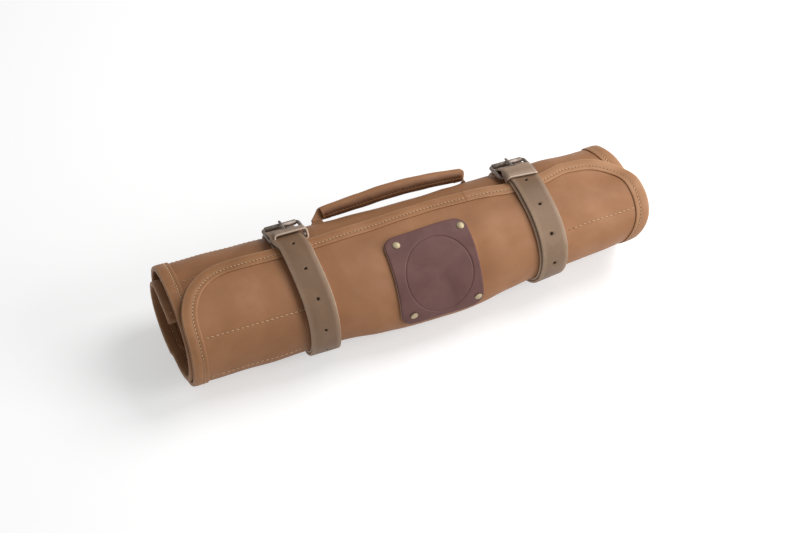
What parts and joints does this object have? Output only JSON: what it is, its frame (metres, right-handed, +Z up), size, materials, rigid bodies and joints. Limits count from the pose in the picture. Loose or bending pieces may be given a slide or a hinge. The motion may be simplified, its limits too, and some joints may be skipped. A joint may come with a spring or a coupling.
{
  "type": "leather tool roll",
  "caption": "Rolled and strapped leather tool roll with bound edges, roller buckles, a padded carrying handle and a blank riveted badge.",
  "frame": {"origin": "centre of the bounding box's bottom face, on the surface the roll lies on", "axes": "+X along the roll towards the end the free corner of the flap points to, -Y towards the badge, +Z up"},
  "size_m": [0.5068, 0.1477, 0.1088],
  "materials": {
    "tan_leather": "waxed pull-up leather, matt with a soft sheen",
    "strap_leather": "worn bridle leather, matt",
    "badge_leather": "dark maroon leather, satin",
    "dark_bronze": "dark antique bronze",
    "rivet_brass": "brushed pale brass",
    "core_fibre": "twisted cotton cord, matt"
  },
  "bodies": {
    "roll": {"outer_panel": "tan_leather", "edge_binding": "tan_leather", "pocket_strip_left": "tan_leather", "pocket_strip_right": "tan_leather", "strap_left": "strap_leather", "strap_right": "strap_leather", "keeper_left": "strap_leather", "keeper_right": "strap_leather", "handle_tab_left": "tan_leather", "handle_tab_right": "tan_leather", "badge": "badge_leather", "badge_rivet_1": "rivet_brass", "badge_rivet_2": "rivet_brass", "badge_rivet_3": "rivet_brass", "badge_rivet_4": "rivet_brass"},
    "handle": {"handle_grip": "tan_leather", "handle_core": "core_fibre", "handle_neck_left": "tan_leather", "handle_neck_right": "tan_leather"},
    "buckle_left": {"buckle_frame_left": "dark_bronze"},
    "roller_left": {"buckle_roller_left": "dark_bronze"},
    "prong_left": {"buckle_prong_left": "dark_bronze"},
    "buckle_right": {"buckle_frame_right": "dark_bronze"},
    "roller_right": {"buckle_roller_right": "dark_bronze"},
    "prong_right": {"buckle_prong_right": "dark_bronze"}
  },
  "joints": [
    {"name": "buckle_tilt_left", "type": "hinge", "parent": "roll", "child": "buckle_left", "pos_m": [-0.1067, 0.02482, 0.09804], "axis": [1, 0, 0], "range_deg": [0, 4]},
    {"name": "roller_spin_left", "type": "hinge", "parent": "buckle_left", "child": "roller_left", "pos_m": [-0.1067, 0.05267, 0.09], "axis": [1, 0, 0], "continuous": true},
    {"name": "prong_lift_left", "type": "hinge", "parent": "buckle_left", "child": "prong_left", "pos_m": [-0.1067, 0.02482, 0.09804], "axis": [1, 0, 0], "range_deg": [0, 6]},
    {"name": "buckle_tilt_right", "type": "hinge", "parent": "roll", "child": "buckle_right", "pos_m": [0.1418, 0.02482, 0.09804], "axis": [1, 0, 0], "range_deg": [0, 4]},
    {"name": "roller_spin_right", "type": "hinge", "parent": "buckle_right", "child": "roller_right", "pos_m": [0.1418, 0.05267, 0.09], "axis": [1, 0, 0], "continuous": true},
    {"name": "prong_lift_right", "type": "hinge", "parent": "buckle_right", "child": "prong_right", "pos_m": [0.1418, 0.02482, 0.09804], "axis": [1, 0, 0], "range_deg": [0, 6]},
    {"name": "handle_swing", "type": "hinge", "parent": "roll", "child": "handle", "pos_m": [0.0172, 0.05893, 0.07875], "axis": [1, 0, 0], "range_deg": [-38, 38], "stiffness_Nm_per_rad": 0.3}
  ]
}
